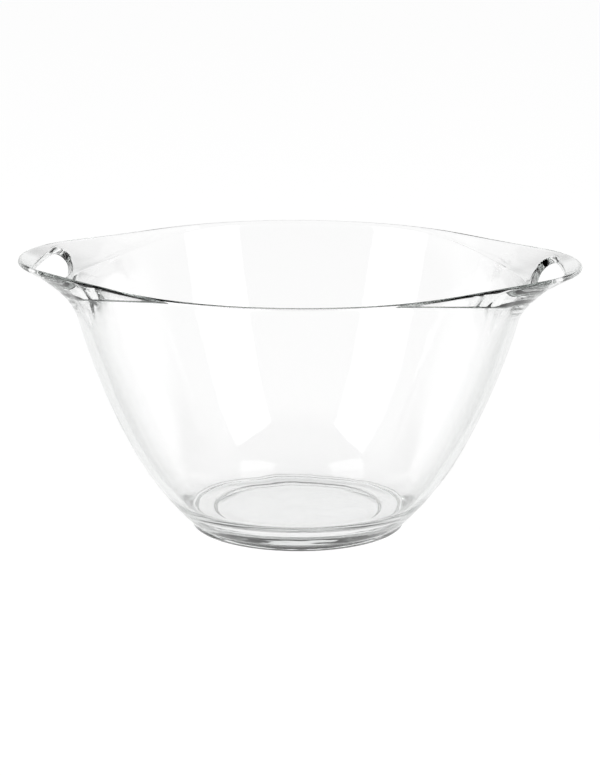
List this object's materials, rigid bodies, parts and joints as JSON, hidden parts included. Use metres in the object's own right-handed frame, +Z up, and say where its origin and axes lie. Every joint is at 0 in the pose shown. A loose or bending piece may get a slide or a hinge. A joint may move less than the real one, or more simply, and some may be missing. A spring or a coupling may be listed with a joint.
{
  "type": "punch bowl",
  "caption": "Clear pressed-glass punch bowl, deep and round on a low foot, with a flat slotted handle moulded into the rim at each end.",
  "frame": {"origin": "centre of the face that the foot stands on", "axes": "+Z up through the middle of the bowl, +X towards one handle"},
  "size_m": [0.352, 0.2908, 0.1696],
  "materials": {
    "glass": "clear, fire-polished, with faint ripples left by the mould"
  },
  "bodies": {
    "root": {"bowl": "glass"}
  },
  "joints": []
}
